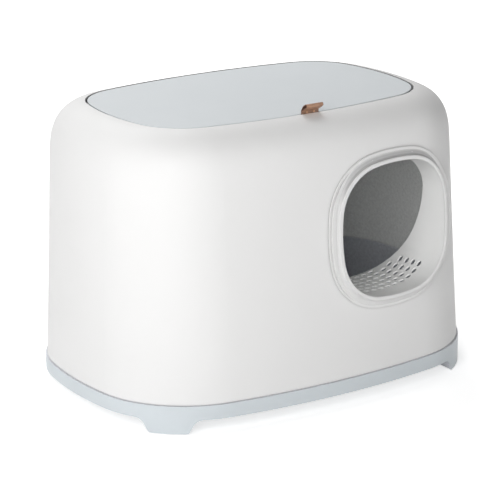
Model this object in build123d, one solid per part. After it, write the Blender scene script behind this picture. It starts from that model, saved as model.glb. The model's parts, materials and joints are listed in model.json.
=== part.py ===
from build123d import *
import math
import os

# Hooded litter box with a side entry tunnel and a lift-up top lid.
# Millimetres, +Z up, front towards -Y, long side along X.
# The origin is the centre of the footprint on the floor.

# Cabin wall
hood_half_length = 289.5
hood_half_width = 209.5
hood_corner_radius = 146.5
hood_side_radius = 1026.0
hood_end_radius = 500.0
hood_wall = 3.0
hood_draft = 0.047
seam_height = 39.5
seam_groove_height = 1.2
seam_groove_depth = 1.4

# Rounded shoulder and lid opening
shoulder_start = 332.0
top_height = 400.0
shoulder_power = 2.65
shoulder_end_angle = 82.0
shoulder_sections = 7
shoulder_samples = 200
opening_half_length = 224.4
opening_half_width = 146.9
opening_corner_radius = 78.0
opening_side_radius = 862.0
opening_end_radius = 339.0
opening_edge_bevel = 0.8
ledge_drop = 8.0
ledge_width = 12.0
ledge_thickness = 3.0

# Lid
lid_gap = 2.6
lid_skin = 2.6
lid_rim_set = 3.0
lid_rim_wall = 3.0
lid_rim_depth = 6.5
lid_edge_round = 0.8
lid_rib_height = 4.0
lid_rib_wall = 2.0
lid_rib_pitch = 84.0
lid_rib_margin = 22.0

# Lid hinges
hinge_spread = 45.0
hinge_setback = 18.0
pin_radius = 1.75
pin_fit = 0.05
pin_head_radius = 2.8
pin_head_height = 1.2
knuckle_radius = 4.0
knuckle_clearance = 0.77
arm_width = 10.0
arm_thickness = 5.0
arm_side_gap = 0.4
arm_neck_depth = 22.5
arm_neck_reach = 30.0
arm_plate_length = 34.0
arm_plate_width = 18.0
arm_plate_thickness = 3.0
arm_boss_length = 3.0
arm_boss_radius = 4.0
ear_wall = 4.0
ear_radius = 5.0
lip_underside = 3.6
notch_side_gap = 1.5

# Screws that share one size
screw_radius = 1.5
screw_fit = 0.06
screw_head_radius = 2.9
screw_head_height = 1.8
screw_bite = 1.2

# Lid bumpers
bumper_stem_radius = 1.5
bumper_stem_fit = 0.1
bumper_head_radius = 4.0
bumper_foot_radius = 2.3
bumper_foot_height = 1.6
bumper_x = 150.0

# Leather pull tab
leather_thickness = 1.3
tab_width = 27.0
tab_stand = 4.1
tab_lean = 32.0
tab_reach = 14.2
tab_crown = 3.8
tab_back_reach = 6.0
tab_back_bulge = 4.1
tab_back_radius = 5.0
tab_fold_radius = 0.3
tab_clearance = 0.4
tab_grip_length = 26.0
tab_rivet_spread = 5.5
tab_rivet_height = 1.75
tab_rivet_radius = 0.9
tab_rivet_head_radius = 1.4
tab_rivet_head_height = 0.6
tab_plate_length = 12.0
tab_plate_width = 24.0
tab_plate_thickness = 1.8
tab_screw_spread = 7.0

# Entry ring and tunnel. Heights of the ring are measured from the wall's curve, carried on past its corner.
entry_x = 101.3
entry_height = 236.5
bore_half_width = 92.5
bore_half_height = 92.0
bore_corner_radius = 66.0
bore_side_radius = 244.0
lip_width = 5.8
lip_proud = 10.0
lip_thickness = 2.5
lip_round = 1.8
cove_radius = 3.8
land_width = 8.2
land_outer_height = 1.7
land_inner_height = 5.6
land_overlap = 1.0
bead_width = 3.5
bead_height = 2.4
bead_round = 1.1
shadow_gap = 0.7
shadow_gap_depth = 1.0
ring_hollow_height = 0.8
flange_root = 18.0
flange_cover = 3.0
wall_clearance = 0.3
collar_wall = 2.5
collar_depth = 14.0
tunnel_wall = 2.0
tunnel_depth_top = 30.0
tunnel_depth_middle = 47.0
tunnel_depth_bottom = 102.0
slot_length = 9.4
slot_width = 7.0
slot_first_depth = 28.0
slot_pitch = 12.8
slot_row_pitch = 12.75
slot_rows_each_side = 6
slot_end_margin = 7.0
lug_thickness = 2.5
lug_radius = 3.2
lug_spread = 35.0
lug_front = -3.0
lug_hole_top = 3.2

# Base tray
skirt_step = 2.5
skirt_wall = 3.0
skirt_edge = 19.7
pan_clearance = 1.0
pan_wall = 3.0
pan_rim_height = 117.0
pan_floor = 3.0
foot_span_x = 217.5
foot_span_y = 142.0
foot_side_run = 9.0
foot_cove_radius = 13.0
foot_toe_radius = 4.0
foot_lift = 0.8
foot_boss_radius = 6.0
pad_thickness = 4.0
pad_clearance = 0.2

overcut = 5.0


class Outline:
    """Closed outline of eight tangent arcs, symmetric about both axes: two sides, two ends, four corners."""

    def __init__(self, half_length, half_width, corner_radius, side_radius, end_radius):
        self.half_length = half_length
        self.half_width = half_width
        self.corner_radius = corner_radius
        self.side_radius = side_radius
        self.end_radius = end_radius

    def moved_in(self, distance):
        """The same outline offset inwards, or outwards where the distance is negative."""
        return Outline(
            self.half_length - distance,
            self.half_width - distance,
            self.corner_radius - distance,
            self.side_radius - distance,
            self.end_radius - distance,
        )

    def blended(self, other, share):
        """Outline between this one, at share 0, and another, at share 1. Radii blend by curvature."""
        return Outline(
            self.half_length + (other.half_length - self.half_length) * share,
            self.half_width + (other.half_width - self.half_width) * share,
            self.corner_radius + (other.corner_radius - self.corner_radius) * share,
            1 / ((1 - share) / self.side_radius + share / other.side_radius),
            1 / ((1 - share) / self.end_radius + share / other.end_radius),
        )

    def side_y(self, x):
        """How far out the long side lies at a distance along it."""
        return self.half_width - self.side_radius + math.sqrt(self.side_radius**2 - x**2)

    def quarter(self):
        """Points of the first quadrant: side tangent, corner middle, end tangent, end middle."""
        side_centre = Vector(0, self.half_width - self.side_radius)
        end_centre = Vector(self.half_length - self.end_radius, 0)
        side_reach = self.side_radius - self.corner_radius
        end_reach = self.end_radius - self.corner_radius
        between = end_centre - side_centre
        along = (between.length**2 + side_reach**2 - end_reach**2) / (2 * between.length)
        across = math.sqrt(side_reach**2 - along**2)
        step = between.normalized()
        corner = side_centre + step * along + Vector(step.Y, -step.X) * across
        side_way = (corner - side_centre).normalized()
        end_way = (corner - end_centre).normalized()
        middle_way = (side_way + end_way).normalized()
        return [
            side_centre + side_way * self.side_radius,
            corner + middle_way * self.corner_radius,
            end_centre + end_way * self.end_radius,
            Vector(self.half_length, 0),
        ]

    def wire(self, height):
        """The closed outline at a height."""
        side, corner, end, end_middle = self.quarter()
        right = [side, corner, end, end_middle, end, corner, side]
        signs = [1, 1, 1, 1, -1, -1, -1]
        points = [Vector(p.X, p.Y * s, height) for p, s in zip(right, signs)]
        points.append(Vector(0, -self.half_width, height))
        points += [Vector(-p.X, p.Y, height) for p in reversed(points[:7])]
        points.append(Vector(0, self.half_width, height))
        arcs = []
        for start in range(0, len(points), 2):
            arcs.append(ThreePointArc(points[start], points[start + 1], points[(start + 2) % len(points)]))
        return Wire(arcs)

    def prism(self, bottom, top):
        """Upright solid of this outline between two heights."""
        return extrude(Face(self.wire(bottom)), amount=top - bottom, dir=(0, 0, 1))

    def lower_path(self):
        """Half of the outline at height 0, from the middle of the lower side towards +X and up."""
        side, corner, end, end_middle = self.quarter()
        half_angle = math.asin(side.X / self.side_radius) / 2
        between = Vector(
            self.side_radius * math.sin(half_angle),
            -(self.half_width - self.side_radius + self.side_radius * math.cos(half_angle)),
        )
        side_arc = ThreePointArc((0, -self.half_width), between, (side.X, -side.Y))
        corner_arc = ThreePointArc((side.X, -side.Y), (corner.X, -corner.Y), (end.X, -end.Y))
        return Wire([side_arc, corner_arc])


def lofted(sections, ruled):
    """Solid through outlines, given as pairs of height and outline."""
    return Solid.make_loft([outline.wire(height) for height, outline in sections], ruled)


def strip(points, radii, width):
    """Face of a strip of one width along a path. Each inner corner of the path has its own radius."""
    path = [Vector(*point) for point in points]
    ways = [(end - start).normalized() for start, end in zip(path, path[1:])]
    sides = []
    for side in (1, -1):
        shifts = [Vector(-way.Y, way.X) * (side * width / 2) for way in ways]
        corners = [path[0] + shifts[0]]
        rounds = []
        for place in range(1, len(path) - 1):
            middle = (shifts[place - 1] + shifts[place]) / 2
            corners.append(path[place] + middle * ((width / 2) ** 2 / middle.length**2))
            turn = ways[place - 1].X * ways[place].Y - ways[place - 1].Y * ways[place].X
            rounds.append(radii[place - 1] - side * math.copysign(width / 2, turn))
        corners.append(path[-1] + shifts[-1])
        sides.append(FilletPolyline(*corners, radius=rounds))
    ends = [Line(sides[0] @ share, sides[1] @ share) for share in (0, 1)]
    return make_face(sides[0].edges() + sides[1].edges() + [end.edge() for end in ends])


hood_foot = Outline(hood_half_length, hood_half_width, hood_corner_radius, hood_side_radius, hood_end_radius)
lid_opening = Outline(
    opening_half_length, opening_half_width, opening_corner_radius, opening_side_radius, opening_end_radius
)
lid_outline = lid_opening.moved_in(lid_gap)
bore = Outline(bore_half_width, bore_half_height, bore_corner_radius, bore_side_radius, bore_side_radius)
lip = bore.moved_in(-lip_width)
land = lip.moved_in(-land_width)
flange = land.moved_in(-bead_width)
collar = flange.moved_in(flange_cover + wall_clearance)
skirt = hood_foot.moved_in(-skirt_step)

ledge_height = top_height - ledge_drop
lid_underside = top_height - lid_skin
lid_rim_bottom = top_height - lid_rim_depth


def cabin_outline(height):
    """Outline of the drafted cabin wall at a height."""
    return hood_foot.moved_in(hood_draft * (height - seam_height))


def shoulder_section(inset, share):
    """Height and outline of the shoulder at a share of the way from the cabin wall to the lid opening."""
    end_angle = math.radians(shoulder_end_angle)
    angle = end_angle * share
    power = 2 / shoulder_power
    run = (1 - math.cos(angle) ** power) / (1 - math.cos(end_angle) ** power)
    climb = math.sin(angle) ** power / math.sin(end_angle) ** power
    height = shoulder_start + (top_height - inset - shoulder_start) * climb
    return height, cabin_outline(height).moved_in(inset).blended(lid_opening, run)


def cabin_solid(inset, bottom):
    """Cabin and shoulder as one closed form, set in from the outer face all round."""
    sections = [shoulder_section(inset, step / shoulder_sections) for step in range(shoulder_sections + 1)]
    wall_sections = [(bottom, cabin_outline(bottom).moved_in(inset)), sections[0]]
    return lofted(wall_sections, True) + lofted(sections, False)


def entry_plane():
    """Frame of the entry: origin on the outer wall, X along the wall, Y up it, Z straight out of it."""
    wall = cabin_outline(entry_height)
    wall_y = -wall.side_y(entry_x)
    plan = Vector(entry_x, wall_y + wall.half_width - wall.side_radius).normalized()
    out = Vector(plan.X, plan.Y, hood_draft).normalized()
    return Plane(origin=(entry_x, wall_y, entry_height), x_dir=(-plan.Y, plan.X, 0), z_dir=out)


entry = entry_plane()


def hinge_axis():
    """Place of the lid's hinge axis in Y and Z: as high as the knuckles clear the shoulder's underside."""
    axis_y = lid_outline.half_width + hinge_setback
    room = knuckle_radius + knuckle_clearance
    heights = []
    for step in range(shoulder_samples + 1):
        height, outline = shoulder_section(hood_wall, step / shoulder_samples)
        aside = outline.side_y(hinge_spread + arm_width / 2) - axis_y
        if abs(aside) < room:
            heights.append(height - math.sqrt(room**2 - aside**2))
    return axis_y, min(heights)


def screw_hole(x, y, z, depth):
    """Hole of a screw's shank, up from a height, or down if the depth is negative."""
    return Pos(x, y, z) * extrude(Circle(screw_radius + screw_fit), amount=depth)


def screw(length):
    """Screw along -Z with the underside of its head at the origin and the head above."""
    head = extrude(Circle(screw_head_radius), amount=screw_head_height)
    socket = Pos(0, 0, screw_head_height / 2) * RegularPolygon(screw_radius * 0.8, 6)
    drive = extrude(socket, amount=screw_head_height)
    shank = extrude(Circle(screw_radius), amount=-length)
    return head - drive + shank


def save(node, *solids):
    """Write one node's STEP."""
    shape = solids[0] if len(solids) == 1 else Compound(children=list(solids))
    shape.label = node
    export_step(shape, f"parts/{node}.step")


# ---------------------------------------------------------------- base tray


def foot_window(half_span, grow):
    """Profile of the gap between two feet, open to the floor, with coved tops and rounded toes."""
    top = skirt_edge + grow
    low_half = half_span + grow
    high_half = low_half - foot_side_run
    flare = low_half + foot_toe_radius * 2
    points = [
        (-flare, -overcut),
        (-flare, foot_lift),
        (-low_half, foot_lift),
        (-high_half, top),
        (high_half, top),
        (low_half, foot_lift),
        (flare, foot_lift),
        (flare, -overcut),
    ]
    profile = make_face(Polyline(*points, close=True))
    corners = profile.vertices()
    coves = [v for v in corners if abs(v.Y - top) < 0.01]
    profile = fillet(coves, foot_cove_radius + grow)
    toes = [v for v in profile.vertices() if abs(abs(v.X) - low_half) < 0.01]
    return fillet(toes, max(foot_toe_radius - grow, foot_toe_radius / 8))


def foot_windows(grow):
    """The two crossing gaps that leave the four feet standing."""
    reach = 2 * (hood_half_length + skirt_step + overcut)
    front = extrude(Plane.XZ * foot_window(foot_span_x, grow), amount=reach / 2, both=True)
    end = extrude(Plane.YZ * foot_window(foot_span_y, grow), amount=reach / 2, both=True)
    return [front, end]


def foot_centres():
    """Middle of each foot on the floor."""
    corner = skirt.quarter()[1]
    x = (foot_span_x + corner.X) / 2
    y = (foot_span_y + corner.Y) / 2
    return {
        "front_left": (-x, -y),
        "front_right": (x, -y),
        "rear_left": (-x, y),
        "rear_right": (x, y),
    }


def foot_fill(inset, bottom, top):
    """What lies inside the four feet, set in from their walls."""
    return skirt.moved_in(inset).prism(bottom, top) - foot_windows(inset)


def make_base_tray():
    pan_inset = hood_wall + pan_clearance
    floor_top = skirt_edge + pan_floor
    pan_levels = (skirt_edge, pan_rim_height)
    pan_outside = lofted([(z, cabin_outline(z).moved_in(pan_inset)) for z in pan_levels], True)
    inner_inset = pan_inset + pan_wall
    pan_inside = lofted(
        [(z, cabin_outline(z).moved_in(inner_inset)) for z in (floor_top, pan_rim_height + overcut)], True
    )
    groove = skirt.moved_in(skirt_wall).prism(0, seam_height - ledge_thickness)
    rim = skirt.prism(skirt_edge, seam_height) - groove
    feet = skirt.prism(foot_lift, skirt_edge) - foot_windows(0) - foot_fill(skirt_wall, 0, skirt_edge)
    tray = rim + pan_outside - pan_inside + feet
    for x, y in foot_centres().values():
        boss = extrude(Circle(foot_boss_radius), amount=skirt_edge - pad_thickness)
        tray += Pos(x, y, pad_thickness) * boss
    return tray


def make_foot_pads():
    """The four pads that plug the cored feet, in the order of the foot names."""
    plugs = foot_fill(skirt_wall + pad_clearance, 0, pad_thickness).solids()
    pads = {}
    for name, (x, y) in foot_centres().items():
        pads[name] = min(plugs, key=lambda plug: (plug.center() - Vector(x, y, 0)).length)
    return pads


# ---------------------------------------------------------------- hood


def hinge_ears(outside):
    """Pairs of ears under the shoulder that hold the hinge pins."""
    axis_y, axis_z = hinge_axis()
    ears = []
    offset = arm_width / 2 + arm_side_gap
    for side in (-1, 1):
        for inner in (-offset - ear_wall, offset):
            profile = Circle(ear_radius) + Pos(0, ear_radius) * Rectangle(2 * ear_radius, 2 * ear_radius)
            inner_face = (side * hinge_spread + inner, axis_y, axis_z)
            place = Plane(origin=inner_face, x_dir=(0, 1, 0), z_dir=(1, 0, 0))
            ear = extrude(place * profile, amount=ear_wall) - pin_bore(pin_radius + pin_fit)
            ears.append(ear & outside)
    return ears


def hinge_notch(side):
    """Room in the ledge for one arm, below the lip that stays."""
    back = hinge_axis()[0] - knuckle_radius - 1
    front = opening_half_width - ledge_width - arm_thickness
    width = max(arm_width, arm_plate_width) + 2 * notch_side_gap
    bottom = ledge_height - ledge_thickness - overcut
    top = top_height - lip_underside
    middle = (side * hinge_spread, (back + front) / 2, (bottom + top) / 2)
    return Pos(*middle) * Box(width, back - front, top - bottom)


def pin_bore(radius):
    """Both hinge pin bores as one long rod."""
    axis_y, axis_z = hinge_axis()
    reach = hinge_spread + arm_width / 2 + arm_side_gap + ear_wall + overcut
    middle = Plane(origin=(0, axis_y, axis_z), z_dir=(1, 0, 0))
    return extrude(middle * Circle(radius), amount=reach, both=True)


def bumper_places():
    """Middle of each bumper on the ledge."""
    y = lid_outline.side_y(bumper_x) - lid_rim_set - lid_rim_wall / 2
    return {
        "front_left": (-bumper_x, -y),
        "front_right": (bumper_x, -y),
        "rear_left": (-bumper_x, y),
        "rear_right": (bumper_x, y),
    }


def make_hood(outside):
    bottom = seam_height - overcut
    inside = cabin_solid(hood_wall, bottom)
    shell = outside - inside
    ledge_underside = ledge_height - ledge_thickness
    rebate = lid_opening.moved_in(-hood_wall).prism(ledge_underside, top_height - hood_wall / 2)
    shell += rebate & outside
    shell -= lid_opening.prism(ledge_height, top_height + overcut)
    edge = lid_opening.moved_in(-opening_edge_bevel - overcut)
    shell -= lofted([(top_height - opening_edge_bevel, lid_opening), (top_height + overcut, edge)], True)
    shell -= lid_opening.moved_in(ledge_width).prism(ledge_height - 2 * overcut, top_height)
    shell += hinge_ears(outside)
    shell -= hinge_notch(-1)
    shell -= hinge_notch(1)
    cut_out = flange.moved_in(flange_cover).prism(-hood_half_width / 2, lip_proud)
    shell -= entry * cut_out
    groove_inner = hood_foot.moved_in(seam_groove_depth).prism(bottom, seam_height + seam_groove_height)
    groove_outer = skirt.prism(bottom, seam_height + seam_groove_height)
    shell -= groove_outer - groove_inner
    for x, y in bumper_places().values():
        hole = Circle(bumper_stem_radius + bumper_stem_fit)
        shell -= Pos(x, y, ledge_height) * extrude(hole, amount=ledge_thickness * 2, both=True)
    return shell


def make_bumper():
    """Soft stud: head on the ledge, stem through it and a foot below."""
    head_height = ledge_drop - lid_rim_depth
    head = extrude(Circle(bumper_head_radius), amount=head_height)
    stem = extrude(Circle(bumper_stem_radius), amount=-ledge_thickness)
    foot = Pos(0, 0, -ledge_thickness) * extrude(Circle(bumper_foot_radius), amount=-bumper_foot_height)
    return head + stem + foot


def make_hinge_pin(side):
    """Pin with a head on its outer end."""
    axis_y, axis_z = hinge_axis()
    half = arm_width / 2 + arm_side_gap + ear_wall
    place = Plane(origin=(side * hinge_spread, axis_y, axis_z), x_dir=(0, 1, 0), z_dir=(side, 0, 0))
    shank = extrude(Circle(pin_radius), amount=half, both=True)
    head = Pos(0, 0, half) * extrude(Circle(pin_head_radius), amount=pin_head_height)
    return place * (shank + head)


# ---------------------------------------------------------------- lid


def arm_screw_places(side):
    """Screw places of one arm, as X and Y."""
    start = hinge_axis()[0] - arm_neck_reach - arm_thickness / 2
    return [(side * hinge_spread, start - arm_plate_length * share) for share in (0.25, 0.78)]


def arm_plate_top():
    return lid_underside - arm_boss_length


def make_lid():
    skin = lid_outline.prism(lid_underside, top_height)
    skin = fillet(skin.edges().filter_by(Axis.Z, reverse=True), lid_edge_round)
    rim_outside = lid_outline.moved_in(lid_rim_set)
    rim_inside = rim_outside.moved_in(lid_rim_wall)
    rim = rim_outside.prism(lid_rim_bottom, lid_underside) - rim_inside.prism(lid_rim_bottom, lid_underside)
    lid = skin + rim
    rib_area = lid_outline.moved_in(lid_rib_margin)
    rib_bottom = lid_underside - lid_rib_height
    ribs = []
    for step in (-2, -1, 0, 1, 2):
        long_rib = Pos(step * lid_rib_pitch, 0, 0) * Rectangle(lid_rib_wall, 2 * opening_half_width)
        ribs.append(Pos(0, 0, rib_bottom) * extrude(long_rib, amount=lid_rib_height))
    for step in (-1, 1):
        cross_rib = Pos(0, step * lid_rib_pitch / 2, 0) * Rectangle(2 * opening_half_length, lid_rib_wall)
        ribs.append(Pos(0, 0, rib_bottom) * extrude(cross_rib, amount=lid_rib_height))
    rib_grid = ribs[0] + ribs[1:]
    lid += rib_grid & rib_area.prism(rib_bottom, lid_underside)
    for side in (-1, 1):
        for x, y in arm_screw_places(side):
            lid += Pos(x, y, arm_plate_top()) * extrude(Circle(arm_boss_radius), amount=arm_boss_length)
            hole_depth = arm_boss_length + screw_bite + screw_fit
            lid -= screw_hole(x, y, arm_plate_top(), hole_depth)
    notch_back = -(opening_half_width - 2 * leather_thickness - 2 * tab_clearance)
    notch_front = -opening_half_width
    notch_middle = (0, (notch_back + notch_front) / 2, top_height - lid_rim_depth / 2)
    notch_width = tab_width + 2 * tab_clearance
    lid -= Pos(*notch_middle) * Box(notch_width, notch_back - notch_front, 2 * lid_rim_depth)
    rim_reach = lid_gap + lid_rim_set + lid_rim_wall + tab_clearance
    rim_notch = Pos(0, notch_front + rim_reach / 2, (lid_rim_bottom + lid_underside) / 2)
    lid -= rim_notch * Box(tab_width + 2 * tab_clearance, rim_reach, lid_underside - lid_rim_bottom)
    grip = Pos(0, tab_root_y() + tab_grip_length / 2, lid_underside - lid_rib_height / 2)
    lid -= grip * Box(tab_width + 2 * tab_clearance, tab_grip_length + 2 * tab_clearance, lid_rib_height)
    for x, y in tab_screw_places():
        lid -= screw_hole(x, y, lid_underside, screw_bite + screw_fit)
    return lid


def make_hinge_arm(side):
    """Gooseneck arm: knuckle on the pin, neck that dips round the hood's lip, plate screwed to the lid."""
    axis_y, axis_z = hinge_axis()
    plate_middle = arm_plate_top() - arm_plate_thickness / 2 - axis_z
    neck = [
        (0, 0),
        (0.5, -arm_neck_depth * 0.98),
        (-arm_neck_reach * 0.66, -arm_neck_depth),
        (-arm_neck_reach, plate_middle - arm_thickness),
        (-arm_neck_reach, plate_middle + arm_plate_thickness / 2),
    ]
    band = strip(neck, [arm_thickness * 1.7, arm_thickness * 1.7, arm_thickness], arm_thickness)
    profile = band + Circle(knuckle_radius)
    place = Plane(origin=(side * hinge_spread, axis_y, axis_z), x_dir=(0, 1, 0), z_dir=(1, 0, 0))
    arm = extrude(place * profile, amount=arm_width / 2, both=True)
    start = axis_y - arm_neck_reach + arm_thickness / 2
    plate_box = Box(arm_plate_width, arm_plate_length + arm_thickness, arm_plate_thickness)
    plate_y = start - (arm_plate_length + arm_thickness) / 2
    arm += Pos(side * hinge_spread, plate_y, arm_plate_top() - arm_plate_thickness / 2) * plate_box
    arm -= pin_bore(pin_radius + pin_fit)
    for x, y in arm_screw_places(side):
        arm -= screw_hole(x, y, arm_plate_top(), -2 * arm_plate_thickness)
    return arm


def make_arm_screws():
    length = arm_plate_thickness + arm_boss_length + screw_bite
    head_seat = arm_plate_top() - arm_plate_thickness
    places = arm_screw_places(-1) + arm_screw_places(1)
    return [Pos(x, y, head_seat) * Rot(180, 0, 0) * screw(length) for x, y in places]


# ---------------------------------------------------------------- pull tab


def tab_root_y():
    """Middle of the two leather layers where they pass the gap in front of the lid."""
    return -(opening_half_width - tab_clearance - leather_thickness)


def make_pull_tab():
    """One strip folded to a loop that leans out. Its two layers are pressed together where they stand up."""
    root = tab_root_y()
    laid = lid_underside - leather_thickness
    foot = top_height + tab_rivet_height
    bend = leather_thickness + tab_fold_radius
    flat_end = (root + tab_grip_length, laid)
    layers = strip([flat_end, (root, laid), (root, foot)], [bend], 2 * leather_thickness)
    half_layer = leather_thickness / 2
    lean = math.radians(tab_lean)
    along = Vector(-math.cos(lean), math.sin(lean))
    across = Vector(math.sin(lean), math.cos(lean))
    start = Vector(root - half_layer, top_height + tab_stand)
    front_end = start + along * tab_reach
    back_end = front_end + across * tab_crown
    back_middle = start + along * tab_back_reach + across * tab_back_bulge
    crown_middle = (front_end + back_end) / 2
    crown_radius = tab_crown * 0.49
    back_foot = Vector(root + half_layer, foot)
    back_bend = Vector(root + half_layer, start.Y)
    back = [back_foot, back_bend, back_middle, back_end, crown_middle]
    front = [Vector(root - half_layer, foot), start, front_end, crown_middle]
    back_layer = strip([(p.X, p.Y) for p in back], [bend, tab_back_radius, crown_radius], leather_thickness)
    front_layer = strip([(p.X, p.Y) for p in front], [bend, crown_radius], leather_thickness)
    tab = extrude(Plane.YZ * (layers + back_layer + front_layer), amount=tab_width / 2, both=True)
    for x, y in tab_screw_places():
        tab -= screw_hole(x, y, lid_underside, -3 * leather_thickness)
    for x in (-tab_rivet_spread, tab_rivet_spread):
        hole = Circle(tab_rivet_radius + screw_fit)
        tab -= rivet_place(x) * extrude(hole, amount=2 * leather_thickness, both=True)
    return tab


def rivet_place(x):
    """Frame of one rivet: origin between the two layers, Z out of the front face."""
    return Plane(origin=(x, tab_root_y(), top_height + tab_rivet_height), x_dir=(1, 0, 0), z_dir=(0, -1, 0))


def make_tab_rivets():
    face = leather_thickness
    rivets = []
    for x in (-tab_rivet_spread, tab_rivet_spread):
        shank = extrude(Circle(tab_rivet_radius), amount=face, both=True)
        head = Pos(0, 0, face) * extrude(Circle(tab_rivet_head_radius), amount=tab_rivet_head_height)
        tail = Pos(0, 0, -face) * extrude(Circle(tab_rivet_head_radius), amount=-tab_rivet_head_height)
        rivets.append(rivet_place(x) * (shank + head + tail))
    return rivets


def tab_screw_places():
    y = tab_root_y() + tab_grip_length - tab_plate_length / 2
    return [(-tab_screw_spread, y), (tab_screw_spread, y)]


def tab_plate_top():
    return lid_underside - 2 * leather_thickness


def make_tab_plate():
    y = tab_screw_places()[0][1]
    plate = Pos(0, y, tab_plate_top() - tab_plate_thickness / 2) * Box(
        tab_plate_width, tab_plate_length, tab_plate_thickness
    )
    for x, y in tab_screw_places():
        plate -= screw_hole(x, y, tab_plate_top(), -2 * tab_plate_thickness)
    return plate


def make_tab_screws():
    length = tab_plate_thickness + 2 * leather_thickness + screw_bite
    seat = tab_plate_top() - tab_plate_thickness
    return [Pos(x, y, seat) * Rot(180, 0, 0) * screw(length) for x, y in tab_screw_places()]


# ---------------------------------------------------------------- entry


def lug_places():
    """Screw places between the tunnel and the collar, in the entry's own frame."""
    inner = bore.moved_in(-tunnel_wall).side_y(lug_spread)
    outer = collar.moved_in(collar_wall).side_y(lug_spread)
    y = (inner + outer) / 2
    return [(x, y * side) for side in (-1, 1) for x in (-lug_spread, lug_spread)]


def wall_form(height):
    """All that lies behind the wall's curve at a height off it, in the entry's own frame."""
    axis = Plane((0, hood_side_radius - hood_half_width, seam_height))
    rise = top_height - seam_height
    bottom_radius = hood_side_radius + height
    top_radius = bottom_radius - hood_draft * rise
    return entry.location.inverse() * Solid.make_cone(bottom_radius, top_radius, rise, axis)


def curved_plate(outline, height):
    """Plate of an outline from behind the wall up to a height off its curve."""
    return outline.prism(-flange_root, lip_proud + overcut) & wall_form(height)


def rim_edges(solid):
    """All edges of the front face of a curved plate."""
    return solid.faces().sort_by(Axis.Z)[-1].edges()


def make_entry_ring():
    """Bezel that follows the wall: bead, coved land, rounded proud lip, and a collar through the wall."""
    lip_back = lip_proud - lip_thickness
    hole = bore.prism(-flange_root, lip_proud + overcut)
    bead = curved_plate(flange, bead_height) - land.moved_in(land_overlap).prism(-flange_root, lip_proud)
    bead = fillet(rim_edges(bead), bead_round)
    bead -= curved_plate(flange, shadow_gap) - curved_plate(flange.moved_in(shadow_gap_depth), shadow_gap)
    run = land_width + land_overlap
    drop = (land_inner_height - land_outer_height) * run / land_width
    slope = curved_plate(land, land_outer_height + drop)
    slope = chamfer(rim_edges(slope), drop, run) - hole
    raised = curved_plate(lip, lip_proud) - hole
    raised = fillet(rim_edges(raised), lip_round)
    front = slope + raised
    front = fillet(new_edges(slope, raised, combined=front), cove_radius)
    seat = entry.location.inverse() * cabin_solid(-wall_clearance, seam_height)
    body = bead + front - seat
    ring = body + collar.prism(-collar_depth, 0)
    ring -= curved_plate(collar.moved_in(collar_wall), ring_hollow_height)
    ring -= curved_plate(bore.moved_in(-tunnel_wall - wall_clearance), lip_back)
    ring -= hole
    for x, y in lug_places():
        ring += Pos(x, y, lug_front) * extrude(Circle(lug_radius), amount=lug_hole_top - lug_front)
        ring -= screw_hole(x, y, lug_front, lug_hole_top - lug_front)
    return entry * ring


def tunnel_depth(y):
    """Depth of the slanted inner end at a height on the tunnel, from the arc through its three points."""
    top = Vector(bore_half_height, tunnel_depth_top)
    middle = Vector(0, tunnel_depth_middle)
    bottom = Vector(-bore_half_height, tunnel_depth_bottom)
    centre = ThreePointArc(top, middle, bottom).arc_center
    radius = (centre - top).length
    return centre.Y - math.sqrt(radius**2 - (y - centre.X) ** 2)


def make_entry_tunnel():
    """Straight sleeve with a slanted inner end, screw lugs and a slotted floor."""
    outside = bore.moved_in(-tunnel_wall)
    sleeve = outside.prism(-tunnel_depth_bottom - overcut, lip_proud)
    sleeve -= bore.prism(-2 * tunnel_depth_bottom, 2 * lip_proud)
    sleeve &= wall_form(lip_proud - lip_thickness - wall_clearance)
    for x, y in lug_places():
        neck = Pos(x, y * 0.97) * Rectangle(2 * lug_radius, abs(y) * 0.06)
        lug = extrude(Circle(lug_radius).locate(Location((x, y))) + neck, amount=lug_thickness)
        lug -= bore.prism(0, lug_thickness)
        lug -= screw_hole(x, y, 0, lug_thickness)
        sleeve += Pos(0, 0, lug_front - lug_thickness) * lug
    half = bore_half_height
    reach = half + 2 * overcut
    deep = tunnel_depth_bottom + 3 * overcut
    end_points = ((half, -tunnel_depth_top), (0, -tunnel_depth_middle), (-half, -tunnel_depth_bottom))
    end_arc = ThreePointArc(*end_points)
    end_line = Polyline(
        (-half, -tunnel_depth_bottom),
        (-reach, -tunnel_depth_bottom),
        (-reach, -deep),
        (reach, -deep),
        (reach, -tunnel_depth_top),
        (half, -tunnel_depth_top),
    )
    behind = extrude(Plane.YZ * make_face(end_arc + end_line), amount=2 * bore_half_width, both=True)
    sleeve -= behind
    sleeve -= tunnel_slots()
    return entry * sleeve


def tunnel_slots():
    """Cutters for the rows of slots along the tunnel's floor."""
    path = bore.lower_path()
    cutters = []
    for row in range(-slot_rows_each_side, slot_rows_each_side + 1):
        distance = abs(row) * slot_row_pitch
        side = -1 if row < 0 else 1
        point = path.position_at(distance, position_mode=PositionMode.LENGTH)
        tangent = path.tangent_at(distance, position_mode=PositionMode.LENGTH)
        outward = Vector(tangent.Y, -tangent.X)
        room = tunnel_depth(point.Y) - slot_end_margin - slot_first_depth
        for step in range(int(room / slot_pitch) + 1):
            depth = slot_first_depth + step * slot_pitch
            place = Plane(
                origin=(point.X * side, point.Y, -depth),
                x_dir=(tangent.X * side, tangent.Y, 0),
                z_dir=(outward.X * side, outward.Y, 0),
            )
            slot = SlotOverall(slot_length, slot_width)
            cutters.append(extrude(place * slot, amount=2 * tunnel_wall, both=True))
    return cutters


def make_entry_screws():
    length = lug_hole_top - lug_front + lug_thickness - screw_bite / 2
    seat = lug_front - lug_thickness
    return [entry * (Pos(x, y, seat) * Rot(180, 0, 0) * screw(length)) for x, y in lug_places()]


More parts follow.
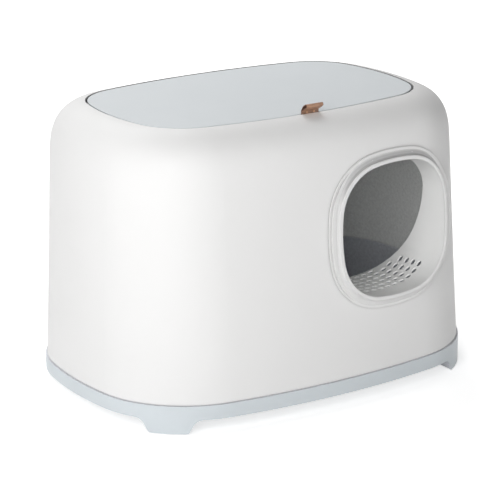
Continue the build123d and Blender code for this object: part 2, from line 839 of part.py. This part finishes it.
def main():
    os.makedirs("parts", exist_ok=True)
    save("base_tray", make_base_tray())
    for name, pad in make_foot_pads().items():
        save(f"foot_pad_{name}", pad)
    outside = cabin_solid(0, seam_height)
    save("hood_shell", make_hood(outside))
    bumper = make_bumper()
    for name, (x, y) in bumper_places().items():
        save(f"lid_bumper_{name}", Pos(x, y, ledge_height) * bumper)
    save("top_lid", make_lid())
    for name, side in (("left", -1), ("right", 1)):
        save(f"hinge_pin_{name}", make_hinge_pin(side))
        save(f"hinge_arm_{name}", make_hinge_arm(side))
    save("arm_screws", *make_arm_screws())
    save("pull_tab", make_pull_tab())
    save("tab_rivets", *make_tab_rivets())
    save("tab_plate", make_tab_plate())
    save("tab_screws", *make_tab_screws())
    save("entry_ring", make_entry_ring())
    save("entry_tunnel", make_entry_tunnel())
    save("entry_screws", *make_entry_screws())


if __name__ == "__main__":
    main()
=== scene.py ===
import json
import math

import bpy
from mathutils import Matrix, Vector


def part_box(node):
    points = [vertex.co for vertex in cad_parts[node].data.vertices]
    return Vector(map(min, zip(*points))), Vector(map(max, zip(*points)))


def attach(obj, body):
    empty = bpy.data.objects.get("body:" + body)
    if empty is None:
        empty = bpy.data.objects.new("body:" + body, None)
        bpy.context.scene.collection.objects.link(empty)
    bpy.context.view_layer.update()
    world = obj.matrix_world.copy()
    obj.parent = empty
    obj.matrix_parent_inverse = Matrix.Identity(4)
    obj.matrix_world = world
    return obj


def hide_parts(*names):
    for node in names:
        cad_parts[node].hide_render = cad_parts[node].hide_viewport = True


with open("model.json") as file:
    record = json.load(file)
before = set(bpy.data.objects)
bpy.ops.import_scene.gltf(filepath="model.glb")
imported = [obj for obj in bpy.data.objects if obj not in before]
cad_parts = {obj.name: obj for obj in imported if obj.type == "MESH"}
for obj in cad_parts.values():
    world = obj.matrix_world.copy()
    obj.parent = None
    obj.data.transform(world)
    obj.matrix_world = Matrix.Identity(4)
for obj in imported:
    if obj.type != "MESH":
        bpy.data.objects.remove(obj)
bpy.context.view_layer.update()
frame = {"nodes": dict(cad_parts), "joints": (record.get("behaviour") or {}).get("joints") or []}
nodes = frame["nodes"]
MM = 0.001

# Named lengths of the object are in mm, unless a comment says otherwise. The front is at -Y.
LID_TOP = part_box("top_lid")[1][2] / MM
SEAM_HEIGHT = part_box("hood_shell")[0][2] / MM
CABIN_MIDDLE = (0, 0, 250 * MM)

# The hood's front wall: its radius and the cabin's half width at the seam, and how both shrink per mm up.
WALL_RADIUS = 1026.0
WALL_HALF_WIDTH = 209.5
WALL_DRAFT = 0.047

# The entry's middle on the wall, and its axis, along which it pulls out of the wall.
ENTRY_HEIGHT = 236.5
ENTRY_MIDDLE = (101.3 * MM, -195.182 * MM, ENTRY_HEIGHT * MM)
ENTRY_AXIS = next(tuple(joint["axis"]) for joint in frame["joints"] if joint["name"] == "entry_pull")


# ---------------------------------------------------------------- node trees


class Nodes:
    """Adds nodes to a node tree and links them. A source is an output socket."""

    def __init__(self, tree):
        self.tree = tree

    def add(self, kind, **values):
        node = self.tree.nodes.new(kind)
        for key, value in values.items():
            setattr(node, key, value)
        return node

    def link(self, source, target):
        self.tree.links.new(source, target)

    def span(self, source, low, high, start=0.3, end=0.7):
        """Runs from low, where the source is at start, to high, where it is at end."""
        node = self.add("ShaderNodeMapRange")
        for key, value in (("From Min", start), ("From Max", end), ("To Min", low), ("To Max", high)):
            node.inputs[key].default_value = value
        self.link(source, node.inputs["Value"])
        return node.outputs["Result"]

    def math(self, operation, *values):
        node = self.add("ShaderNodeMath", operation=operation)
        for socket, value in zip(node.inputs, values):
            if isinstance(value, float):
                socket.default_value = value
            else:
                self.link(value, socket)
        return node.outputs[0]

    def product(self, first, *others):
        for other in others:
            first = self.math("MULTIPLY", first, other)
        return first

    def vector(self, operation, first, second, result=0):
        """A vector operation on two values, each a tuple or a socket."""
        node = self.add("ShaderNodeVectorMath", operation=operation)
        for socket, value in zip(node.inputs, (first, second)):
            if isinstance(value, tuple):
                socket.default_value = value
            else:
                self.link(value, socket)
        return node.outputs[result]

    def along(self, vector, axis):
        """One component of a vector, with axis 0, 1 or 2."""
        node = self.add("ShaderNodeSeparateXYZ")
        self.link(vector, node.inputs[0])
        return node.outputs[axis]

    def sees_backdrop(self):
        """1 for rays from the camera, from gloss and through glass, otherwise 0."""
        path = self.add("ShaderNodeLightPath")
        through = self.math("MAXIMUM", path.outputs["Is Glossy Ray"], path.outputs["Is Transmission Ray"])
        return self.math("MAXIMUM", path.outputs["Is Camera Ray"], through)


class Shader(Nodes):
    """A material built step by step around one Principled shader."""

    def __init__(self, name, color, roughness, specular=0.5):
        self.material = bpy.data.materials.new(name)
        self.material.use_nodes = True
        super().__init__(self.material.node_tree)
        self.tree.nodes.clear()
        output = self.add("ShaderNodeOutputMaterial")
        self.surface = self.add("ShaderNodeBsdfPrincipled")
        self.surface.inputs["Base Color"].default_value = (*color, 1)
        self.surface.inputs["Roughness"].default_value = roughness
        self.surface.inputs["Specular IOR Level"].default_value = specular
        self.surface.inputs["IOR"].default_value = SURFACE_IOR
        self.link(self.surface.outputs[0], output.inputs["Surface"])
        where = self.add("ShaderNodeTexCoord")
        self.place = where.outputs["Object"]
        self.facing = where.outputs["Normal"]
        self.height = None

    def noise(self, scale, detail=3.0, roughness=0.5, stretch=(1, 1, 1)):
        mapping = self.add("ShaderNodeMapping")
        mapping.inputs["Scale"].default_value = stretch
        self.link(self.place, mapping.inputs["Vector"])
        node = self.add("ShaderNodeTexNoise")
        node.inputs["Scale"].default_value = scale
        node.inputs["Detail"].default_value = detail
        node.inputs["Roughness"].default_value = roughness
        self.link(mapping.outputs[0], node.inputs["Vector"])
        return node.outputs["Fac"]

    def toward(self, direction):
        """How far a surface faces a direction, from -1 to 1."""
        return self.vector("DOT_PRODUCT", self.facing, direction, "Value")

    def inward(self, centre):
        """1 where a surface faces a point inside the object, otherwise 0."""
        offset = self.vector("SUBTRACT", self.place, centre)
        return self.math("LESS_THAN", self.vector("DOT_PRODUCT", offset, self.facing, "Value"), 0.0)

    def off_wall(self):
        """How far a place stands out of the curve of the hood's front wall."""
        flat = self.vector("MULTIPLY", self.place, (1, 1, 0))
        axis = (0, (WALL_RADIUS - WALL_HALF_WIDTH) * MM, 0)
        reach = self.vector("DISTANCE", flat, axis, "Value")
        fall = self.math("MULTIPLY", self.along(self.place, 2), WALL_DRAFT)
        radius = self.math("SUBTRACT", (WALL_RADIUS + WALL_DRAFT * SEAM_HEIGHT) * MM, fall)
        return self.math("SUBTRACT", reach, radius)

    def depth(self):
        """How deep a place lies inside the entry, along its axis."""
        offset = self.vector("SUBTRACT", ENTRY_MIDDLE, self.place)
        return self.vector("DOT_PRODUCT", offset, ENTRY_AXIS, "Value")

    def mix(self, share, first, second):
        """Blend of two colours, each a tuple or a socket."""
        node = self.add("ShaderNodeMix", data_type="RGBA")
        self.link(share, node.inputs["Factor"])
        for socket, value in zip((node.inputs[6], node.inputs[7]), (first, second)):
            if isinstance(value, tuple):
                socket.default_value = (*value, 1)
            else:
                self.link(value, socket)
        return node.outputs[2]

    def ramp(self, source, *stops):
        node = self.add("ShaderNodeValToRGB")
        ramp = node.color_ramp
        while len(ramp.elements) < len(stops):
            ramp.elements.new(0.5)
        for element, (position, color) in zip(ramp.elements, stops):
            element.position = position
            element.color = (*color, 1)
        self.link(source, node.inputs["Fac"])
        return node.outputs["Color"]

    def tones(self, source, color, darkest, lightest):
        """Drift of a colour between two shares of itself."""
        return self.ramp(source, (0.3, shade(color, darkest)), (0.7, shade(color, lightest)))

    def paint(self, tone):
        self.link(tone, self.surface.inputs["Base Color"])

    def paint_glow(self, tone, strength):
        """Painted glow: emission in the tone's colour that stands in for faint light seeping through thin
        plastic.
        """
        self.link(tone, self.surface.inputs["Emission Color"])
        self.link(strength, self.surface.inputs["Emission Strength"])

    def bump(self, source, strength, depth):
        """Adds a fine relief to those that the surface already has."""
        node = self.add("ShaderNodeBump")
        node.inputs["Strength"].default_value = strength
        node.inputs["Distance"].default_value = depth * MM
        self.link(source, node.inputs["Height"])
        if self.height is not None:
            self.link(self.height, node.inputs["Normal"])
        self.height = node.outputs["Normal"]
        self.link(self.height, self.surface.inputs["Normal"])


def shade(color, factor):
    return tuple(min(1.0, part * factor) for part in color)


# ---------------------------------------------------------------- materials

SURFACE_IOR = 1.46

# Specular levels of the satin plastics.
SATIN = 0.3
LID_SATIN = 0.16

# Inner sides of the cabin and the pan.
INNER_GRAIN = 0.12
INNER_GRAIN_SCALE = 260.0

# Faces that line the gap round the lid: their normal points up by less than the first number, and they begin
# the second number below the lid's top.
GAP_WALLS = (0.4, 12.0)
GAP_BEVEL = (0.82, 0.9)
GAP_SHADOW = (0.12, 0.12, 0.125)

# Entry ring: how far off the wall its parting line and its cove lie, over what height above the entry's
# middle the cove darkens, how much of the shadow's tone the cove and the left flank take, and that tone.
PARTING_LOW = 0.33
PARTING_HIGH = 0.78
COVE_START = (1.8, 3.2)
COVE_END = (7.2, 8.8)
COVE_REACH = 70.0
COVE_SHADE = 0.64
FLANK_SHADE = 0.2
LEFT_FRONT = (-0.80, -0.60, 0.0)
RING_SHADOW = (0.25, 0.25, 0.255)

# Tunnel: painted glow that stands in for light through its wall and from the far walls of its slots, which
# are dimmer at the entry's middle and reach their full glow a little to the right of it.
TUNNEL_LIGHT = 0.03
SLOT_LIGHT = 0.30
SLOT_DIM = 0.35
SLOTS_FROM = 20.0
SLOTS_REACH = 60.0

# How near another surface has to be for painted shade to darken a crevice.
CREVICE_REACH = 4.0

# Leather tab: how far in from its long edges it is burnished, and over what height its foot takes painted
# shade.
TAB_WIDTH = 27.0
TAB_BURNISH = (0.9, 0.1)
TAB_FOOT = (2.0, 6.0)


def grain_and_glow_inside(color, light=0.0):
    """Layer: a grainier inner side, and a painted glow that stands in for the faint light seeping in through
    its wall.
    """

    def layer(shader, tone):
        noise = shader.noise(INNER_GRAIN_SCALE, detail=4.0, roughness=0.7)
        grain = shader.tones(noise, color, 1 - INNER_GRAIN, 1 + INNER_GRAIN)
        inside = shader.inward(CABIN_MIDDLE)
        if light:
            shader.paint_glow(grain, shader.product(inside, light))
        return shader.mix(inside, tone, grain)

    return layer


def lid_gap(shader, tone):
    """Layer: shadow on the faces that line the gap round the lid."""
    slope = shader.math("ABSOLUTE", shader.along(shader.facing, 2))
    height = shader.along(shader.place, 2)
    faces = [
        shader.product(
            shader.math("LESS_THAN", slope, steepest),
            shader.math("GREATER_THAN", height, (LID_TOP - drop) * MM),
        )
        for steepest, drop in (GAP_WALLS, GAP_BEVEL)
    ]
    return shader.mix(shader.math("MAXIMUM", *faces), tone, GAP_SHADOW)


def ring_shadows(shader, tone):
    """Layer: painted shadow in the ring's parting gap, and painted shade on the upper half of its cove and on
    its left flank.
    """
    rise = shader.off_wall()
    above = shader.math("GREATER_THAN", rise, PARTING_LOW * MM)
    below = shader.math("LESS_THAN", rise, PARTING_HIGH * MM)
    tone = shader.mix(shader.product(above, below), tone, RING_SHADOW)
    upward = shader.span(shader.along(shader.facing, 2), 0.0, 1.0, start=0.12, end=0.55)
    height = shader.along(shader.place, 2)
    upper = shader.span(height, 0.0, COVE_SHADE, ENTRY_HEIGHT * MM, (ENTRY_HEIGHT + COVE_REACH) * MM)
    start = shader.span(rise, 0.0, 1.0, *(edge * MM for edge in COVE_START))
    end = shader.span(rise, 1.0, 0.0, *(edge * MM for edge in COVE_END))
    cove = shader.product(upward, upper, start, end)
    tone = shader.mix(cove, tone, RING_SHADOW)
    flank = shader.span(shader.toward(LEFT_FRONT), 0.0, FLANK_SHADE, start=0.55, end=0.95)
    return shader.mix(flank, tone, RING_SHADOW)


def crevice_shade(dark):
    """Layer: painted shade, a darker tone where other surfaces close in."""

    def layer(shader, tone):
        near = shader.add("ShaderNodeAmbientOcclusion", samples=8)
        near.inputs["Distance"].default_value = CREVICE_REACH * MM
        closed = shader.span(near.outputs["AO"], 1.0, 0.0, start=0.25, end=0.95)
        return shader.mix(closed, tone, dark)

    return layer


def tunnel_light(shader, tone):
    """Layer: painted glow for light that seeps through the tunnel's wall, and more of it on the far walls of
    the slots.
    """
    far_wall = shader.math("GREATER_THAN", shader.toward(ENTRY_AXIS), 0.35)
    deep = shader.math("GREATER_THAN", shader.depth(), SLOTS_FROM * MM)
    aside = shader.along(shader.place, 0)
    middle = ENTRY_MIDDLE[0]
    rightward = shader.span(aside, SLOT_DIM, 1.0, start=middle, end=middle + SLOTS_REACH * MM)
    slots = shader.product(far_wall, rightward, deep, SLOT_LIGHT)
    shader.paint_glow(tone, shader.math("ADD", slots, TUNNEL_LIGHT))
    return tone


def plastic(name, color, roughness, *layers, specular=0.5):
    """Moulded plastic: faint tone drift, fine moulded texture and slightly uneven gloss. Each layer changes
    the tone, or adds light, in some places."""
    shader = Shader(name, color, roughness, specular)
    drift = shader.noise(4.0, detail=2.0)
    tone = shader.tones(drift, color, darkest=0.985, lightest=1.015)
    for layer in layers:
        tone = layer(shader, tone)
    shader.paint(tone)
    gloss = shader.span(shader.noise(38.0, detail=4.0), roughness - 0.04, roughness + 0.05)
    shader.link(gloss, shader.surface.inputs["Roughness"])
    shader.bump(shader.noise(2600.0, detail=2.0), strength=0.1, depth=0.06)
    shader.bump(shader.noise(9.0, detail=2.0), strength=0.05, depth=0.6)
    return shader.material


def rubber(name, color):
    shader = Shader(name, color, 0.75)
    shader.paint(shader.tones(shader.noise(60.0, detail=4.0), color, darkest=0.85, lightest=1.12))
    shader.bump(shader.noise(1800.0), strength=0.3, depth=0.1)
    return shader.material


def metal(name, color, roughness):
    shader = Shader(name, color, roughness)
    shader.surface.inputs["Metallic"].default_value = 1.0
    scratches = shader.noise(900.0, stretch=(1, 1, 0.15))
    gloss = shader.span(scratches, roughness - 0.08, roughness + 0.12)
    shader.link(gloss, shader.surface.inputs["Roughness"])
    shader.bump(scratches, strength=0.15, depth=0.05)
    return shader.material


def leather(name, color, edge, foot_shade=1.0):
    """Vegetable-tanned strip: blotchy tone, pebbled grain, burnished edges and painted shade on its foot by
    the lid.
    """
    shader = Shader(name, color, 0.5)
    blotch = shader.noise(160.0, detail=5.0, roughness=0.6)
    tone = shader.ramp(blotch, (0.25, shade(color, 0.72)), (0.5, color), (0.78, shade(color, 1.25)))
    aside = shader.math("ABSOLUTE", shader.along(shader.place, 0))
    burnish_start, burnish_end = ((TAB_WIDTH / 2 - inset) * MM for inset in TAB_BURNISH)
    burnished = shader.span(aside, 0.0, 1.0, burnish_start, burnish_end)
    tone = shader.mix(burnished, tone, edge)
    foot_start, foot_end = ((LID_TOP + rise) * MM for rise in TAB_FOOT)
    foot = shader.span(shader.along(shader.place, 2), 1.0, 0.0, foot_start, foot_end)
    shader.paint(shader.mix(foot, tone, shade(color, foot_shade)))
    cells = shader.add("ShaderNodeTexVoronoi", feature="DISTANCE_TO_EDGE")
    cells.inputs["Scale"].default_value = 900.0
    shader.link(shader.place, cells.inputs["Vector"])
    pebbles = shader.span(cells.outputs["Distance"], 0.0, 1.0, start=0.0, end=0.25)
    shader.bump(pebbles, strength=0.5, depth=0.12)
    shader.bump(blotch, strength=0.3, depth=0.3)
    return shader.material


HOOD_COLOR = (0.885, 0.882, 0.876)
RING_COLOR = (0.87, 0.867, 0.861)
hood_inside = grain_and_glow_inside((0.88, 0.885, 0.87), light=0.023)
tray_inside = grain_and_glow_inside((0.72, 0.735, 0.78))
hood_crevice_shade = crevice_shade(shade(HOOD_COLOR, 0.68))
ring_crevice_shade = crevice_shade(shade(RING_COLOR, 0.55))

tan_leather = leather("tab_leather", (0.42, 0.235, 0.15), edge=(0.16, 0.07, 0.045), foot_shade=0.5)
# Painted shade: a dark leather tone on the strip's inner side, for the shade inside the loop.
inner_side_shade = leather("tab_flesh_side", (0.13, 0.065, 0.04), edge=(0.10, 0.05, 0.03))
steel = metal("steel", (0.58, 0.58, 0.57), 0.32)

# The finish of each CAD node, by the start of its name. The pins, screws and the tab's plate are steel.
finishes = {
    "base_tray": plastic("base_plastic", (0.68, 0.73, 0.76), 0.46, tray_inside),
    "hood_shell": plastic(
        "hood_plastic", HOOD_COLOR, 0.52, hood_inside, lid_gap, hood_crevice_shade, specular=SATIN
    ),
    "top_lid": plastic("lid_plastic", (0.80, 0.838, 0.86), 0.56, specular=LID_SATIN),
    "entry_ring": plastic("ring_plastic", RING_COLOR, 0.36, ring_shadows, ring_crevice_shade, specular=SATIN),
    "entry_tunnel": plastic("tunnel_plastic", (0.87, 0.87, 0.86), 0.40, tunnel_light),
    "hinge_arm": plastic("arm_plastic", (0.35, 0.37, 0.38), 0.5),
    "foot_pad": rubber("pad_rubber", (0.09, 0.095, 0.1)),
    "lid_bumper": rubber("bumper_rubber", (0.45, 0.45, 0.44)),
    "tab_rivets": metal("rivet_metal", (0.40, 0.24, 0.15), 0.42),
    "pull_tab": tan_leather,
}
for name, node in nodes.items():
    matches = [finish for start, finish in finishes.items() if name.startswith(start)]
    node.data.materials.clear()
    node.data.materials.append(matches[0] if matches else steel)


# ---------------------------------------------------------------- leather pull tab

# The strip's thickness, the lid's skin that it passes, and half the width of the lid's opening.
LEATHER = 1.3
LID_SKIN = 2.6
LID_HALF_OPENING = 146.9

# The folded strip: length under the lid, height of its foot, lean, reach and crown of its nose, where its
# back humps, and the radii of its bends.
TAB_GRIP = 26.0
TAB_STAND = 4.1
TAB_LEAN = math.radians(32.0)
TAB_REACH = 14.2
TAB_CROWN = 3.8
TAB_HUMP = (6.0, 4.1)
TAB_HUMP_ROUND = 5.0
TAB_NOSE_ROUND = TAB_CROWN * 0.49
TAB_BEND = 1.6
TAB_EDGE_ROUND = 0.4
TAB_EDGE_STEPS = 4

# Length of a step along the strip, and how near two points have to be to count as one.
TAB_STEP = 0.4
TAB_SAME = 1e-4

# The front layer hangs this clear of the opening's edge.
TAB_CLEARANCE = 0.4
TAB_ROOT_Y = -(LID_HALF_OPENING - TAB_CLEARANCE - LEATHER)

# The strip is slightly thinner than the leather's measure, so that its swells stay within it. Each swell has
# its height, and its turn in radians per mm of width and per step along the strip.
TAB_THIN = 0.94
TAB_SWELLS = ((0.0144, 0.55, 0.11), (0.0096, 1.3, -0.05))


def rounded_path(points, radii):
    """Points in steps along a path whose inner corners are rounded, each with its own radius."""
    path = [points[0]]
    for before, corner, after, radius in zip(points, points[1:], points[2:], radii):
        way_in = (corner - before).normalized()
        way_out = (after - corner).normalized()
        turn = way_in.angle(way_out)
        start = corner - way_in * radius * math.tan(turn / 2)
        side = math.copysign(1, way_in.cross(way_out))
        normal = Vector((-way_in.y, way_in.x)) * side
        centre = start + normal * radius
        count = max(2, math.ceil(radius * turn / TAB_STEP))
        for step in range(count + 1):
            angle = turn * step / count
            path.append(centre - normal * radius * math.cos(angle) + way_in * radius * math.sin(angle))
    path.append(points[-1])
    fine = [path[0]]
    for start, end in zip(path, path[1:]):
        parts = max(1, math.ceil((end - start).length / TAB_STEP))
        fine += [start.lerp(end, step / parts) for step in range(1, parts + 1)]
    apart = [point for point, after in zip(fine, fine[1:]) if (after - point).length > TAB_SAME]
    return apart + [fine[-1]]


def tab_centre_line():
    """Middle of the leather in Y and Z, from the tab's root on the lid's top: under the lid, up through the
    gap, round the loop and back."""
    half = LEATHER / 2
    along = Vector((-math.cos(TAB_LEAN), math.sin(TAB_LEAN)))
    across = Vector((math.sin(TAB_LEAN), math.cos(TAB_LEAN)))
    front_foot = Vector((-half, TAB_STAND))
    nose_low = front_foot + along * TAB_REACH
    corners = [
        (Vector((half, -LID_SKIN - half)), TAB_BEND - half),
        (Vector((half, TAB_STAND)), TAB_BEND),
        (front_foot + along * TAB_HUMP[0] + across * TAB_HUMP[1], TAB_HUMP_ROUND),
        (nose_low + across * TAB_CROWN, TAB_NOSE_ROUND),
        (nose_low, TAB_NOSE_ROUND),
        (front_foot, TAB_BEND),
        (Vector((-half, -LID_SKIN - 3 * half)), TAB_BEND + half),
    ]
    start = Vector((TAB_GRIP, -LID_SKIN - half))
    end = Vector((TAB_GRIP, -LID_SKIN - 3 * half))
    points, radii = zip(*corners)
    return rounded_path([start, *points, end], radii)


def strip_section():
    """Section of the strip across its width and thickness, with rounded edges."""
    section = []
    corner_x, corner_n = TAB_WIDTH / 2 - TAB_EDGE_ROUND, LEATHER / 2 - TAB_EDGE_ROUND
    for turn, (side_x, side_n) in enumerate(((1, 1), (-1, 1), (-1, -1), (1, -1))):
        for step in range(TAB_EDGE_STEPS):
            angle = math.radians(90 * (turn + step / (TAB_EDGE_STEPS - 1)))
            x = side_x * corner_x + TAB_EDGE_ROUND * math.cos(angle)
            section.append((x, side_n * corner_n + TAB_EDGE_ROUND * math.sin(angle)))
    return section


def build_tab():
    """The leather loop as one strip with soft edges and a slightly uneven hand-cut surface."""
    line = tab_centre_line()
    section = strip_section()
    root = Vector((0, TAB_ROOT_Y, LID_TOP))
    vertices, faces = [], []
    for place, point in enumerate(line):
        before, after = line[max(place - 1, 0)], line[min(place + 1, len(line) - 1)]
        way = (after - before).normalized()
        normal = Vector((-way.y, way.x))
        for x, n in section:
            swells = [size * math.sin(x * across + place * along) for size, across, along in TAB_SWELLS]
            spot = point + normal * (n * TAB_THIN + sum(swells))
            vertices.append((root + Vector((x, spot.x, spot.y))) * MM)
    around = len(section)
    for row in range(len(line) - 1):
        for column in range(around):
            a, b = row * around + column, row * around + (column + 1) % around
            faces.append((a, b, b + around, a + around))
    faces.append(tuple(reversed(range(around))))
    faces.append(tuple(range((len(line) - 1) * around, len(line) * around)))
    mesh = bpy.data.meshes.new("leather_tab")
    mesh.from_pydata([tuple(v) for v in vertices], [], faces)
    mesh.update()
    mesh.materials.append(tan_leather)
    mesh.materials.append(inner_side_shade)
    for polygon in mesh.polygons:
        polygon.use_smooth = True
        # The strip's inner side takes the painted shade material.
        polygon.material_index = int(polygon.index % around < around // 2 - 1)
    tab = bpy.data.objects.new("leather_tab", mesh)
    bpy.context.scene.collection.objects.link(tab)
    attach(tab, "lid")
    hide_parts("pull_tab")


build_tab()


# ---------------------------------------------------------------- stage, lights and camera

# Half the floor's side and its drop below the pads, in metres. The floor glows less within an oval round the
# object, so that the shadow shows there. Its half axes are in metres, and it fades out at a multiple of them.
FLOOR_REACH = 6.0
FLOOR_DROP = 0.0004
FLOOR_GREY = 0.82
STAGE_GLOW = 0.62
STAGE_SHADOW_X = 0.40
STAGE_SHADOW_Y = 0.32
STAGE_FADE = 1.6
WORLD_LEVEL = 0.03

# Square soft lamps: name, azimuth and elevation in degrees, distance and side in metres, power in watts.
# Azimuth 0 is in front and 90 to the right.
LAMPS = (
    ("key", -50, 20, 2.6, 1.6, 44.5),
    ("left", -125, 28, 2.4, 1.6, 9.5),
    ("front", -30, 10, 2.6, 1.0, 3),
    ("right", 45, 8, 2.6, 1.6, 14),
    ("back", 170, 50, 2.4, 1.6, 32.5),
)
LAMP_TARGET = Vector((0, 0, 0.2))

CAMERA_LENS = 161.28
CAMERA_SHIFT = (-0.00515, -0.0101)
CAMERA_PLACE = (-1.62984, -2.54766, 1.09775)
CAMERA_RIGHT = Vector((0.84045503, -0.54176232, -0.01135468))
CAMERA_UP = Vector((0.16646673, 0.23819141, 0.95684569))


def stage_material():
    """Pale floor: white to the camera, with the object's own soft shadow left on it."""
    material = bpy.data.materials.new("stage_white")
    material.use_nodes = True
    material.node_tree.nodes.clear()
    stage = Nodes(material.node_tree)
    floor = stage.add("ShaderNodeBsdfDiffuse")
    floor.inputs["Color"].default_value = (FLOOR_GREY, FLOOR_GREY, FLOOR_GREY, 1)
    place = stage.add("ShaderNodeTexCoord").outputs["Object"]
    oval = stage.vector("MULTIPLY", place, (1 / STAGE_SHADOW_X, 1 / STAGE_SHADOW_Y, 0))
    reach = stage.vector("DISTANCE", oval, (0, 0, 0), "Value")
    level = stage.span(reach, STAGE_GLOW, 1.0, 1.0, STAGE_FADE)
    glow = stage.add("ShaderNodeEmission")
    stage.link(stage.product(stage.sees_backdrop(), level), glow.inputs["Strength"])
    both = stage.add("ShaderNodeAddShader")
    stage.link(floor.outputs[0], both.inputs[0])
    stage.link(glow.outputs[0], both.inputs[1])
    stage.link(both.outputs[0], stage.add("ShaderNodeOutputMaterial").inputs["Surface"])
    return material


def build_stage():
    mesh = bpy.data.meshes.new("floor")
    corners = [(FLOOR_REACH * x, FLOOR_REACH * y, 0) for x, y in ((-1, -1), (1, -1), (1, 1), (-1, 1))]
    mesh.from_pydata(corners, [], [(0, 1, 2, 3)])
    mesh.materials.append(stage_material())
    floor = bpy.data.objects.new("floor", mesh)
    floor.location.z = -FLOOR_DROP
    bpy.context.scene.collection.objects.link(floor)


def build_world():
    """White backdrop that hardly lights the object."""
    world = bpy.data.worlds.new("studio")
    bpy.context.scene.world = world
    world.use_nodes = True
    studio = Nodes(world.node_tree)
    background = world.node_tree.nodes["Background"]
    background.inputs["Color"].default_value = (1, 1, 1, 1)
    level = studio.span(studio.sees_backdrop(), WORLD_LEVEL, 1.0, 0.0, 1.0)
    studio.link(level, background.inputs["Strength"])


def build_lamp(name, azimuth, elevation, distance, side, power):
    a, e = math.radians(azimuth), math.radians(elevation)
    way = Vector((math.sin(a) * math.cos(e), -math.cos(a) * math.cos(e), math.sin(e)))
    data = bpy.data.lights.new(name, "AREA")
    data.shape = "SQUARE"
    data.size = side
    data.energy = power
    lamp = bpy.data.objects.new(name, data)
    lamp.location = LAMP_TARGET + way * distance
    lamp.rotation_euler = (-way).to_track_quat("-Z", "Y").to_euler()
    lamp.visible_camera = False
    bpy.context.scene.collection.objects.link(lamp)


def build_camera():
    data = bpy.data.cameras.new("camera")
    data.lens = CAMERA_LENS
    data.shift_x, data.shift_y = CAMERA_SHIFT
    data.clip_start, data.clip_end = 0.1, 50.0
    camera = bpy.data.objects.new("camera", data)
    turn = Matrix((CAMERA_RIGHT, CAMERA_UP, CAMERA_RIGHT.cross(CAMERA_UP))).transposed().to_4x4()
    camera.matrix_world = Matrix.Translation(CAMERA_PLACE) @ turn
    bpy.context.scene.collection.objects.link(camera)
    bpy.context.scene.camera = camera


build_stage()
build_world()
for lamp in LAMPS:
    build_lamp(*lamp)
build_camera()
bpy.context.scene.view_settings.view_transform = "Standard"
